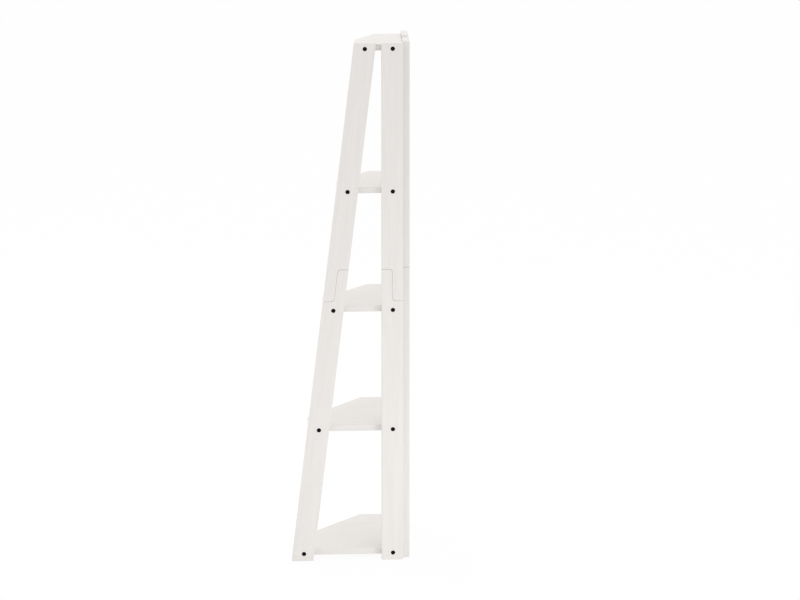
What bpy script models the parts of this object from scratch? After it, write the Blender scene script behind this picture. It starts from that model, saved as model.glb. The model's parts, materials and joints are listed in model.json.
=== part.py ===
"""Corner ladder bookcase: two flat ladder frames that meet at a room's corner and carry five shelves.

Metres, +Z up. The origin is on the floor, under the middle of the footprint. The right frame's wall face looks
along -Y and the left frame's along +X, so the room's corner is at +X, -Y and the open front looks to -X, +Y.
Right and left are those of a person who faces the corner. Within a frame, a place is given by its distance
across (from the other frame's wall face), its depth (from its own wall face) and its height above the floor.
"""

import math
from typing import NamedTuple

import bmesh
import bpy
from mathutils import Matrix, Vector

# Overall sizes
HEIGHT = 1.829
FOOT_REACH = 0.408  # across, to the outer edge of a front leg, at the floor
HEAD_REACH = 0.189  # the same at the top

# Boards
LEG_WIDTH = 0.074
LEG_THICKNESS = 0.023
SHELF_THICKNESS = 0.022
EDGE_EASE = 0.0015
EDGE_EASE_SEGMENTS = 2
SEAT_GAP = 0.0003  # between pieces that touch

# Half lap that joins the two boards of a leg
LAP_LEVEL = 0.5391  # height of its middle, as a share of HEIGHT
LAP_LENGTH = 0.112
LAP_CORNER_RADIUS = 0.010
LAP_CORNER_STEPS = 5
DOWEL_DIAMETER = 0.008
DOWEL_LENGTH = 0.040
DOWEL_POINT = 0.001  # chamfer at the dowel's ends

# Bolts
BOLT_DIAMETER = 0.006
BOLT_HEAD_DIAMETER = 0.0145
BOLT_HEAD_HEIGHT = 0.005
BOLT_HEAD_ROUND = 0.001
BOLT_RECESS = 0.0008  # wall face to the top of the head
BOLT_RUN_OUT = 0.003  # past the far side of the nut
BOLT_OFFSET = 0.0016  # between a leg's centre line and its bolts
HEX_SOCKET_WIDTH = 0.005  # across flats
HEX_SOCKET_DEPTH = 0.003
HOLE_CLEARANCE = 0.0003  # on the radius
HOLE_END_ROOM = 0.002  # past the tip of a bolt or the end of a dowel

# Barrel nuts
NUT_DIAMETER = 0.010
NUT_LENGTH = 0.014
NUT_SETBACK = 0.022  # shelf edge to the nut's axis
NUT_SLOT_WIDTH = 0.0014
NUT_SLOT_DEPTH = 0.0012

CUT_MARGIN = 0.005  # how far a cutter stands out of the face that it enters
ROUND_SIDES = 12
SHARP_ANGLE = math.radians(40)  # edges sharper than this stay crisp or are eased
MERGE_DISTANCE = 0.00001


class Shelf(NamedTuple):
    """One shelf: where it is and how its two short ends are cut."""

    name: str
    level: float  # height of the middle of the board, as a share of HEIGHT
    end_inset: float  # end to the front leg's outer edge at the shelf's top, as a share of FOOT_REACH
    right_end: float  # length of the short end at the right frame, as a share of FOOT_REACH
    left_end: float  # the same at the left frame

    @property
    def centre(self):
        """Height of the middle of the board."""
        return self.level * HEIGHT


SHELVES = (
    Shelf("shelf_1_bottom", level=0.01394, end_inset=0.0184, right_end=0.2721, left_end=0.3260),
    Shelf("shelf_2_lower", level=0.25807, end_inset=0.0049, right_end=0.2475, left_end=0.3235),
    Shelf("shelf_3_middle", level=0.49071, end_inset=0.0110, right_end=0.2549, left_end=0.2721),
    Shelf("shelf_4_upper", level=0.71870, end_inset=0.0086, right_end=0.2157, left_end=0.2647),
    Shelf("shelf_5_top", level=0.98934, end_inset=0.0184, right_end=0.1789, left_end=0.2230),
)

# Derived sizes
HALF_SIDE = FOOT_REACH / 2
RAKE = (FOOT_REACH - HEAD_REACH) / HEIGHT
RAKE_ANGLE = math.atan(RAKE)
RAKED_WIDTH = LEG_WIDTH / math.cos(RAKE_ANGLE)  # of a front leg, measured level
HEAD_SEAT = BOLT_RECESS + BOLT_HEAD_HEIGHT
NUT_AXIS_DEPTH = LEG_THICKNESS + SEAT_GAP + NUT_SETBACK
BOLT_TIP_DEPTH = NUT_AXIS_DEPTH + NUT_DIAMETER / 2 + BOLT_RUN_OUT
DOWEL_HEIGHT = LAP_LEVEL * HEIGHT
LAP_BOTTOM = DOWEL_HEIGHT - LAP_LENGTH / 2
LAP_TOP = DOWEL_HEIGHT + LAP_LENGTH / 2


class Frame(NamedTuple):
    """One ladder frame: how its across, depth and height lie in the room."""

    name: str
    across_start: Vector  # the corner of the two wall faces, at the floor
    across_way: Vector
    depth_way: Vector
    turn: Matrix  # from the right frame's plane to this one's, about Z

    @property
    def upright(self):
        """Turns what is drawn flat into the frame's plane, with +Z looking out of the wall face."""
        return self.turn @ Matrix.Rotation(math.radians(90), 4, "X")

    def point(self, across, depth, height):
        """World place of a point of the frame."""
        level = self.across_start + across * self.across_way + depth * self.depth_way
        return level + Vector((0, 0, height))


CORNER = Vector((HALF_SIDE, -HALF_SIDE, 0))
RIGHT = Frame(
    "right",
    CORNER,
    across_way=Vector((-1, 0, 0)),
    depth_way=Vector((0, 1, 0)),
    turn=Matrix(),
)
LEFT = Frame(
    "left",
    CORNER,
    across_way=Vector((0, 1, 0)),
    depth_way=Vector((-1, 0, 0)),
    turn=Matrix.Rotation(math.radians(90), 4, "Z"),
)


def front_outer(height):
    """Across to a front leg's outer edge."""
    return FOOT_REACH - RAKE * height


def front_inner(height):
    """Across to a front leg's inner edge."""
    return front_outer(height) - RAKED_WIDTH


def rear_corner(_height):
    """Across to a rear leg's edge beside the room's corner."""
    return LEG_THICKNESS


def rear_inner(_height):
    """Across to a rear leg's inner edge."""
    return LEG_THICKNESS + LEG_WIDTH


class Leg(NamedTuple):
    """One leg: its frame, its two edges, and which of them the lower board's tongue runs up."""

    frame: Frame
    place: str
    tongue_edge: object
    shoulder_edge: object
    lean: float  # angle from upright, towards the room's corner
    bolt_shift: float  # across, from the centre line to the bolts

    @property
    def name(self):
        return f"{self.frame.name}_{self.place}"

    def middle(self, height):
        """Across to the leg's centre line."""
        return (self.tongue_edge(height) + self.shoulder_edge(height)) / 2


# The rear legs are one and the same part, so the left one's tongue lies on its corner side,
# and its bolts lie on the other side of its centre line.
LEGS = (
    Leg(RIGHT, "front", front_inner, front_outer, RAKE_ANGLE, -BOLT_OFFSET),
    Leg(RIGHT, "rear", rear_inner, rear_corner, 0, -BOLT_OFFSET),
    Leg(LEFT, "front", front_inner, front_outer, RAKE_ANGLE, -BOLT_OFFSET),
    Leg(LEFT, "rear", rear_corner, rear_inner, 0, BOLT_OFFSET),
)


def clear_scene():
    """Removes every object of the startup scene."""
    for obj in list(bpy.data.objects):
        bpy.data.objects.remove(obj, do_unlink=True)


def new_collection(name, cutters=False):
    """A collection in the scene. Cutters are left out of renders."""
    collection = bpy.data.collections.new(name)
    collection.hide_render = cutters
    bpy.context.scene.collection.children.link(collection)
    return collection


def principled(name, color, roughness, metallic=0.0):
    """A plain Principled material."""
    material = bpy.data.materials.new(name)
    material.use_nodes = True
    shader = material.node_tree.nodes["Principled BSDF"]
    shader.inputs["Base Color"].default_value = (*color, 1)
    shader.inputs["Roughness"].default_value = roughness
    shader.inputs["Metallic"].default_value = metallic
    return material


def add_object(name, mesh, collection, matrix=None, material=None):
    """An object in a collection. Objects in the cutters' collection draw as wires."""
    obj = bpy.data.objects.new(name, mesh)
    collection.objects.link(obj)
    obj.matrix_world = matrix or Matrix()
    if collection.hide_render:
        obj.hide_render = True
        obj.display_type = "WIRE"
    if material:
        mesh.materials.clear()
        mesh.materials.append(material)
    return obj


def evaluated_mesh(obj):
    """A new mesh of the object as its modifiers leave it. The object is removed."""
    bpy.context.view_layer.update()
    graph = bpy.context.evaluated_depsgraph_get()
    mesh = bpy.data.meshes.new_from_object(obj.evaluated_get(graph))
    bpy.data.objects.remove(obj, do_unlink=True)
    return mesh


def subtract(obj, cutter):
    """Cuts the cutter's shape out of an object."""
    boolean = obj.modifiers.new(f"cut {cutter.name}", "BOOLEAN")
    boolean.operation = "DIFFERENCE"
    boolean.solver = "EXACT"
    boolean.object = cutter


def rounded(corners, steps):
    """The points of an outline whose corners are (point, radius) pairs, with each round one as an arc."""
    points = []
    for index, (corner, radius) in enumerate(corners):
        corner = Vector(corner)
        if not radius:
            points.append(corner)
            continue
        before = (Vector(corners[index - 1][0]) - corner).normalized()
        after = (Vector(corners[(index + 1) % len(corners)][0]) - corner).normalized()
        half_angle = before.angle(after) / 2
        centre = corner + (before + after).normalized() * radius / math.sin(half_angle)
        start = (corner + before * radius / math.tan(half_angle) - centre).normalized()
        end = (corner + after * radius / math.tan(half_angle) - centre).normalized()
        points += [centre + radius * start.slerp(end, step / steps) for step in range(steps + 1)]
    return points


def board_mesh(name, outline, thickness):
    """A flat board: its outline is drawn in X and Y, filled, and extruded about the middle of its thickness."""
    mesh = bpy.data.meshes.new(name)
    shape = bmesh.new()
    corners = [shape.verts.new((x, y, -thickness / 2)) for x, y in outline]
    edges = [shape.edges.new((corner, corners[i - 1])) for i, corner in enumerate(corners)]
    bmesh.ops.contextual_create(shape, geom=edges)
    raised = bmesh.ops.extrude_face_region(shape, geom=shape.faces[:])["geom"]
    top = [item for item in raised if isinstance(item, bmesh.types.BMVert)]
    bmesh.ops.translate(shape, verts=top, vec=(0, 0, thickness))
    bmesh.ops.recalc_face_normals(shape, faces=shape.faces)
    shape.to_mesh(mesh)
    shape.free()
    return mesh


def ease_edges(obj):
    """Rounds an object's sharp edges slightly, as sanding does."""
    bevel = obj.modifiers.new("eased edges", "BEVEL")
    bevel.width = EDGE_EASE
    bevel.segments = EDGE_EASE_SEGMENTS
    bevel.limit_method = "ANGLE"
    bevel.angle_limit = SHARP_ANGLE


def turned_mesh(name, profile, sides, collection):
    """A turned shape about Z, from (radius, height) points that run from top to bottom."""
    line = bpy.data.meshes.new(name)
    vertices = [(radius, 0, height) for radius, height in profile]
    line.from_pydata(vertices, [(i, i + 1) for i in range(len(vertices) - 1)], [])
    obj = add_object(f"{name} profile", line, collection)
    screw = obj.modifiers.new("turn", "SCREW")
    screw.steps = sides
    screw.render_steps = sides
    screw.use_merge_vertices = True
    screw.merge_threshold = MERGE_DISTANCE
    mesh = evaluated_mesh(obj)
    mesh.shade_smooth()
    mesh.set_sharp_from_angle(angle=SHARP_ANGLE)
    return mesh


def box_mesh(name, size):
    """A box of a given (x, y, z) size, about its centre."""
    mesh = bpy.data.meshes.new(name)
    shape = bmesh.new()
    bmesh.ops.create_cube(shape, size=1, matrix=Matrix.Diagonal((*size, 1)))
    shape.to_mesh(mesh)
    shape.free()
    return mesh


def leg_corners(leg, lower):
    """The outline of one board of a leg, as (across, height) corners with their radii."""
    gap = SEAT_GAP if lower else 0
    top = LAP_TOP - gap
    bottom = LAP_BOTTOM - gap
    away = math.copysign(gap, leg.tongue_edge(0) - leg.shoulder_edge(0))
    end = 0 if lower else HEIGHT
    return (
        ((leg.shoulder_edge(end), end), 0),
        ((leg.tongue_edge(end), end), 0),
        ((leg.tongue_edge(top), top), 0),
        ((leg.middle(top) + away, top), LAP_CORNER_RADIUS),
        ((leg.middle(bottom) + away, bottom), LAP_CORNER_RADIUS),
        ((leg.shoulder_edge(bottom), bottom), 0),
    )


def add_leg_board(leg, lower, material, parts):
    """One board of a leg, without its holes."""
    frame = leg.frame
    name = f"{leg.name}_leg_{'lower' if lower else 'upper'}"
    middle = frame.point(0, LEG_THICKNESS / 2, 0)
    matrix = Matrix.Translation(middle) @ frame.upright
    flatten = matrix.inverted()
    outline = []
    for across, height in rounded(leg_corners(leg, lower), LAP_CORNER_STEPS):
        flat = flatten @ frame.point(across, LEG_THICKNESS / 2, height)
        outline.append(flat.xy)
    mesh = board_mesh(name, outline, LEG_THICKNESS)
    board = add_object(name, mesh, parts, matrix, material)
    ease_edges(board)
    return board


def shelf_reach(shelf):
    """Across from a wall face to a shelf's end."""
    return front_outer(shelf.centre + SHELF_THICKNESS / 2) - shelf.end_inset * FOOT_REACH


def add_shelf(shelf, material, parts):
    """A shelf, without its holes: a square back corner, two short ends and a slanted front edge."""
    back = LEG_THICKNESS + SEAT_GAP
    reach = shelf_reach(shelf)
    right_end = LEG_THICKNESS + shelf.right_end * FOOT_REACH
    left_end = LEG_THICKNESS + shelf.left_end * FOOT_REACH
    outline = [
        RIGHT.point(across, depth, 0).xy
        for across, depth in (
            (back, back),
            (reach, back),
            (reach, right_end),
            (left_end, reach),
            (back, reach),
        )
    ]
    mesh = board_mesh(shelf.name, outline, SHELF_THICKNESS)
    board = add_object(shelf.name, mesh, parts, Matrix.Translation((0, 0, shelf.centre)), material)
    ease_edges(board)
    return board


def bolt_mesh(parts, cutters):
    """A bolt with a hex socket. Its axis is Z, and the wall face is at zero height."""
    head = BOLT_HEAD_DIAMETER / 2
    shank = BOLT_DIAMETER / 2
    profile = (
        (0, -BOLT_RECESS),
        (head - BOLT_HEAD_ROUND, -BOLT_RECESS),
        (head, -BOLT_RECESS - BOLT_HEAD_ROUND),
        (head, -HEAD_SEAT),
        (shank, -HEAD_SEAT),
        (shank, -BOLT_TIP_DEPTH),
        (0, -BOLT_TIP_DEPTH),
    )
    bolt = add_object("bolt", turned_mesh("bolt", profile, ROUND_SIDES, parts), parts)
    socket = bpy.data.meshes.new("hex socket")
    shape = bmesh.new()
    bmesh.ops.create_cone(
        shape,
        cap_ends=True,
        segments=6,
        radius1=HEX_SOCKET_WIDTH / math.sqrt(3),
        radius2=HEX_SOCKET_WIDTH / math.sqrt(3),
        depth=2 * HEX_SOCKET_DEPTH,
        matrix=Matrix.Translation((0, 0, -BOLT_RECESS)),
    )
    shape.to_mesh(socket)
    shape.free()
    subtract(bolt, add_object("hex socket", socket, cutters))
    return evaluated_mesh(bolt)


def nut_mesh(parts, cutters):
    """A barrel nut, upright, with its cross hole along Y and a slot in its lower end."""
    radius = NUT_DIAMETER / 2
    half = NUT_LENGTH / 2
    profile = ((0, half), (radius, half), (radius, -half), (0, -half))
    nut = add_object("nut", turned_mesh("nut", profile, ROUND_SIDES, parts), parts)
    bore = BOLT_DIAMETER / 2 + HOLE_CLEARANCE
    through = ((0, NUT_DIAMETER), (bore, NUT_DIAMETER), (bore, -NUT_DIAMETER), (0, -NUT_DIAMETER))
    hole = turned_mesh("nut hole", through, ROUND_SIDES, parts)
    subtract(nut, add_object("nut hole", hole, cutters, RIGHT.upright))
    slot = box_mesh("nut slot", (2 * NUT_DIAMETER, NUT_SLOT_WIDTH, 2 * NUT_SLOT_DEPTH))
    subtract(nut, add_object("nut slot", slot, cutters, Matrix.Translation((0, 0, -half))))
    return evaluated_mesh(nut)


def bolt_hole_mesh(parts):
    """The stepped hole for a bolt: a counterbore for the head, then a hole that ends in the shelf."""
    head = BOLT_HEAD_DIAMETER / 2 + HOLE_CLEARANCE
    shank = BOLT_DIAMETER / 2 + HOLE_CLEARANCE
    seat = HEAD_SEAT + SEAT_GAP
    end = BOLT_TIP_DEPTH + HOLE_END_ROOM
    profile = ((0, CUT_MARGIN), (head, CUT_MARGIN), (head, -seat), (shank, -seat), (shank, -end), (0, -end))
    return turned_mesh("bolt hole", profile, ROUND_SIDES, parts)


def nut_hole_mesh(parts):
    """The hole for a barrel nut, from below the shelf to just above the nut. Its zero is the shelf's middle."""
    radius = NUT_DIAMETER / 2 + HOLE_CLEARANCE
    top = NUT_LENGTH / 2 + SEAT_GAP
    bottom = -SHELF_THICKNESS / 2 - CUT_MARGIN
    profile = ((0, top), (radius, top), (radius, bottom), (0, bottom))
    return turned_mesh("nut hole", profile, ROUND_SIDES, parts)


def dowel_mesh(parts):
    """A dowel along Z, with chamfered ends."""
    radius = DOWEL_DIAMETER / 2
    half = DOWEL_LENGTH / 2
    profile = (
        (0, half),
        (radius - DOWEL_POINT, half),
        (radius, half - DOWEL_POINT),
        (radius, DOWEL_POINT - half),
        (radius - DOWEL_POINT, -half),
        (0, -half),
    )
    return turned_mesh("dowel", profile, ROUND_SIDES, parts)


def dowel_hole_mesh(parts):
    """The hole for a dowel."""
    radius = DOWEL_DIAMETER / 2 + HOLE_CLEARANCE
    half = DOWEL_LENGTH / 2 + HOLE_END_ROOM
    profile = ((0, half), (radius, half), (radius, -half), (0, -half))
    return turned_mesh("dowel hole", profile, ROUND_SIDES, parts)


def dowel_matrix(leg):
    """The place of a leg's dowel: through the middle of the lap, square to the leg's length."""
    frame = leg.frame
    centre = frame.point(leg.middle(DOWEL_HEIGHT), LEG_THICKNESS / 2, DOWEL_HEIGHT)
    along = frame.across_way * math.cos(leg.lean) + Vector((0, 0, math.sin(leg.lean)))
    return Matrix.Translation(centre) @ along.to_track_quat("Z", "Y").to_matrix().to_4x4()


def build():
    """Builds every piece of the bookcase."""
    clear_scene()
    parts = new_collection("corner_ladder_bookcase")
    cutters = new_collection("cutters", cutters=True)

    paint = principled("white_paint", (0.80, 0.80, 0.79), 0.45)
    black = principled("black_steel", (0.012, 0.012, 0.013), 0.4, 0.9)
    zinc = principled("zinc_steel", (0.55, 0.56, 0.58), 0.35, 1.0)
    beech = principled("beech", (0.62, 0.42, 0.24), 0.6)

    bolt = bolt_mesh(parts, cutters)
    nut = nut_mesh(parts, cutters)
    bolt_hole = bolt_hole_mesh(parts)
    nut_hole = nut_hole_mesh(parts)
    dowel = dowel_mesh(parts)
    dowel_hole = dowel_hole_mesh(parts)

    shelf_boards = [add_shelf(shelf, paint, parts) for shelf in SHELVES]
    for leg in LEGS:
        lower = add_leg_board(leg, True, paint, parts)
        upper = add_leg_board(leg, False, paint, parts)
        matrix = dowel_matrix(leg)
        add_object(f"lap_dowel_{leg.name}", dowel, parts, matrix, beech)
        cutter = add_object(f"dowel hole {leg.name}", dowel_hole, cutters, matrix)
        subtract(lower, cutter)
        subtract(upper, cutter)

        frame = leg.frame
        for number, (shelf, board) in enumerate(zip(SHELVES, shelf_boards), start=1):
            label = f"{leg.name}_{number}"
            across = leg.middle(shelf.centre) + leg.bolt_shift
            matrix = Matrix.Translation(frame.point(across, 0, shelf.centre)) @ frame.upright
            add_object(f"bolt_{label}", bolt, parts, matrix, black)
            cutter = add_object(f"bolt hole {label}", bolt_hole, cutters, matrix)
            hole_radius = BOLT_HEAD_DIAMETER / 2 + HOLE_CLEARANCE
            if shelf.centre - hole_radius < LAP_TOP:
                subtract(lower, cutter)
            if shelf.centre + hole_radius > LAP_BOTTOM:
                subtract(upper, cutter)
            subtract(board, cutter)

            seat = frame.point(across, NUT_AXIS_DEPTH, shelf.centre)
            matrix = Matrix.Translation(seat) @ frame.turn
            add_object(f"barrel_nut_{label}", nut, parts, matrix, zinc)
            subtract(board, add_object(f"nut hole {label}", nut_hole, cutters, matrix))


build()
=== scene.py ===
"""Corner ladder bookcase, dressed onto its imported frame: boards, bolts, barrel nuts, studio and camera.

Metres, +Z up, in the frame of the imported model. The right frame's wall face looks along -Y and the left
frame's along +X, so the room's corner is at +X, -Y. Right and left are those of a person who faces the
corner. "Across" is the distance from the other frame's wall face, and "depth" the distance from a frame's
own wall face.
"""

import json
import logging
import math
import random
from collections.abc import Callable, Iterator
from contextlib import contextmanager
from dataclasses import dataclass
from enum import Enum
from itertools import product

import bmesh
import bpy
from mathutils import Matrix, Vector

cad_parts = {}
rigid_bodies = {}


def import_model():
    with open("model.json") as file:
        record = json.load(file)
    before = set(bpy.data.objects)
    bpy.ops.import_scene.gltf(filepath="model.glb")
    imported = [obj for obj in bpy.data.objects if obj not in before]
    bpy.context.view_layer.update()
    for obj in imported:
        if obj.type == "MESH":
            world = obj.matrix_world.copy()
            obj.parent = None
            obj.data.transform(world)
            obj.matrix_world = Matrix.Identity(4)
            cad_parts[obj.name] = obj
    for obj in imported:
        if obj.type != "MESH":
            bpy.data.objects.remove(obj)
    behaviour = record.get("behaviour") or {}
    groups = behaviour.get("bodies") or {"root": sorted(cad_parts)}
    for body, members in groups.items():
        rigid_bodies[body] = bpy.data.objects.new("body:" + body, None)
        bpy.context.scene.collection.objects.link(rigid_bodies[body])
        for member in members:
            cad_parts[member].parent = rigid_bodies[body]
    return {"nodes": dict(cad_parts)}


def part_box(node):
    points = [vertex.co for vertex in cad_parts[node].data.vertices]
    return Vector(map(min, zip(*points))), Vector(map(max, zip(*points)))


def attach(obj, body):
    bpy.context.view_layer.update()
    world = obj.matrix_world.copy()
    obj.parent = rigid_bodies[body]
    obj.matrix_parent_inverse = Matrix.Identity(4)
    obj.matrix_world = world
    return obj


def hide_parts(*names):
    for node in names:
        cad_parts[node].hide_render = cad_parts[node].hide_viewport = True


log = logging.getLogger("corner_ladder_bookcase")

Piece = bpy.types.Object
Socket = bpy.types.NodeSocket
Tree = bpy.types.NodeTree
Inputs = dict[str | int, object]  # a value or a feeding socket for each input of a node, by name or number

BODY = "root"
NEAR = 1e-5  # two places closer than this are the same
WELD_REACH = 1e-6  # corners closer than this are joined after a cut
CORNER_REACH = 5 * NEAR  # how near its worked-out place a corner is found
ROUND_SIDES = 48
SMOOTH_ANGLE = math.radians(35)
FLAT_ANGLE = math.radians(1)
QUARTER_TURN = math.radians(90)
SIXTH_TURN = math.radians(60)
MM_PER_M = 1000
MIX_AMOUNT, MIX_FIRST, MIX_SECOND, MIX_RESULT = 0, 6, 7, 2  # sockets of a Mix node for colours


# Modelling by operators


def activate(piece: Piece) -> None:
    """Makes a piece the only selected object, and the active one.

    Args:
        piece: the object to work on.
    """
    bpy.ops.object.select_all(action="DESELECT")
    piece.select_set(True)
    bpy.context.view_layer.objects.active = piece


@contextmanager
def editing(piece: Piece) -> Iterator[None]:
    """Opens a piece in edit mode with nothing selected, and closes it again.

    Args:
        piece: the object to edit.

    Returns:
        A context in which the edit-mode operators act on the piece.
    """
    activate(piece)
    bpy.ops.object.mode_set(mode="EDIT")
    bpy.ops.mesh.select_mode(type="VERT")
    bpy.ops.mesh.select_all(action="DESELECT")
    yield
    bpy.ops.object.mode_set(mode="OBJECT")


def pick(piece: Piece, wanted: Callable[[Vector], bool]) -> None:
    """Selects the vertices of an edited piece where a test says so, with the edges and faces between them.

    Args:
        piece: an object in edit mode.
        wanted: a test of a vertex's place.
    """
    bpy.ops.mesh.select_all(action="DESELECT")
    shape = bmesh.from_edit_mesh(piece.data)
    for vertex in shape.verts:
        vertex.select = wanted(vertex.co)
    shape.select_flush(True)
    bmesh.update_edit_mesh(piece.data)


def pick_level(piece: Piece, level: float) -> None:
    """Selects what lies at one height in an edited piece."""
    pick(piece, lambda place: abs(place.z - level) < NEAR)


def extrude(move: Vector) -> None:
    """Extrudes what is selected.

    Args:
        move: how far and which way.
    """
    bpy.ops.mesh.extrude_region_move(TRANSFORM_OT_translate={"value": tuple(move)})


def apply_place(piece: Piece, matrix: Matrix | None = None) -> None:
    """Moves a piece's place into its mesh, so that the object itself sits at the origin.

    Args:
        piece: the object.
        matrix: a place to give it first.
    """
    activate(piece)
    if matrix is not None:
        piece.matrix_world = matrix
    bpy.ops.object.transform_apply(location=True, rotation=True, scale=True)


def take_name(name: str) -> Piece:
    """Names the active object and its mesh.

    Args:
        name: the new name.

    Returns:
        The object.
    """
    piece = bpy.context.object
    piece.name = piece.data.name = name
    return piece


def rectangle(name: str, centre: Vector, turn: Vector, width: float, length: float) -> Piece:
    """A flat rectangle to model a board from.

    Args:
        name: the object's name.
        centre: its middle.
        turn: its Euler rotation.
        width: its size along X before it is turned.
        length: its size along Y before it is turned.

    Returns:
        The new object.
    """
    bpy.ops.object.select_all(action="DESELECT")
    bpy.ops.mesh.primitive_plane_add(size=1, location=centre, rotation=turn)
    piece = take_name(name)
    piece.scale = (width, length, 1)
    apply_place(piece)
    return piece


def cylinder(name: str, radius: float, top: float, bottom: float, sides: int = ROUND_SIDES) -> Piece:
    """An upright cylinder about Z to model a turned piece or a cutter from.

    Args:
        name: the object's name.
        radius: its radius.
        top: height of its upper end.
        bottom: height of its lower end.
        sides: how many sides it has.

    Returns:
        The new object.
    """
    bpy.ops.object.select_all(action="DESELECT")
    bpy.ops.mesh.primitive_cylinder_add(
        vertices=sides, radius=radius, depth=top - bottom, location=(0, 0, (top + bottom) / 2)
    )
    piece = take_name(name)
    apply_place(piece)
    return piece


def step_in(piece: Piece, level: float, inset: float, move: float) -> None:
    """Narrows the end of a turned piece and draws it on, as a shank under a head.

    Args:
        piece: the turned object.
        level: height of the end face.
        inset: how much narrower it gets, on the radius.
        move: how far it is drawn on along Z.
    """
    with editing(piece):
        pick_level(piece, level)
        bpy.ops.mesh.inset(thickness=inset)
        extrude(Vector((0, 0, move)))


def flare(piece: Piece, level: float, radius: float, wider: float, move: float) -> None:
    """Draws the end of a cutter on with a widening mouth, so that the hole it cuts has an eased rim.

    Args:
        piece: the cutter.
        level: height of the end face.
        radius: radius of the end face.
        wider: how much the radius grows.
        move: how far the mouth is drawn on along Z.
    """
    grow = (radius + wider) / radius
    with editing(piece):
        pick_level(piece, level)
        extrude(Vector((0, 0, move)))
        bpy.ops.transform.resize(value=(grow, grow, 1), center_override=(0, 0, level))


def bevel_rim(piece: Piece, level: float, width: float, segments: int = 4) -> None:
    """Rounds the rim of a turned piece's end.

    Args:
        piece: the turned object.
        level: height of the end face.
        width: size of the rounding.
        segments: how many faces it is made of.
    """
    with editing(piece):
        pick_level(piece, level)
        bpy.ops.mesh.bevel(offset=width, segments=segments, affect="EDGES")


def face_out(piece: Piece) -> None:
    """Turns every face of a closed piece outwards.

    Args:
        piece: the object.
    """
    with editing(piece):
        bpy.ops.mesh.select_all(action="SELECT")
        bpy.ops.mesh.normals_make_consistent(inside=False)


def duplicate(piece: Piece, name: str) -> Piece:
    """A copy of a piece with a mesh of its own.

    Args:
        piece: the object to copy.
        name: the copy's name.

    Returns:
        The copy.
    """
    activate(piece)
    bpy.ops.object.duplicate(linked=False)
    return take_name(name)


def modify(piece: Piece, kind: str, **settings: object) -> None:
    """Gives a piece a modifier and applies it.

    Args:
        piece: the object.
        kind: the modifier's type.
        settings: the modifier's own options.
    """
    activate(piece)
    modifier = piece.modifiers.new(kind, kind)
    for key, value in settings.items():
        setattr(modifier, key, value)
    bpy.ops.object.modifier_apply(modifier=modifier.name)


def cut(piece: Piece, cutter: Piece) -> None:
    """Cuts a cutter's shape out of a piece, welds corners that fall on the same spot and removes the cutter.

    Args:
        piece: the object to cut.
        cutter: the shape to take away.
    """
    modify(piece, "BOOLEAN", operation="DIFFERENCE", solver="EXACT", object=cutter)
    discard(cutter)
    with editing(piece):
        bpy.ops.mesh.select_all(action="SELECT")
        bpy.ops.mesh.remove_doubles(threshold=WELD_REACH)


def discard(piece: Piece) -> None:
    """Removes an object that has done its work, with its mesh.

    Args:
        piece: the object.
    """
    mesh = piece.data
    bpy.data.objects.remove(piece, do_unlink=True)
    bpy.data.meshes.remove(mesh)


def round_edges(piece: Piece, width: float, segments: int) -> None:
    """Rounds all sharp edges of a piece, as sanding and paint do.

    Args:
        piece: the object.
        width: size of the rounding.
        segments: how many faces it is made of.
    """
    sharp = {"limit_method": "ANGLE", "angle_limit": SMOOTH_ANGLE}
    modify(piece, "BEVEL", width=width, segments=segments, **sharp)


def smooth(piece: Piece) -> None:
    """Shades a piece smoothly over its roundings, with its flat faces kept flat.

    Args:
        piece: the object.
    """
    activate(piece)
    bpy.ops.object.shade_smooth_by_angle(angle=SMOOTH_ANGLE)
    modify(piece, "WEIGHTED_NORMAL", keep_sharp=True)


# Finishes


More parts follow.
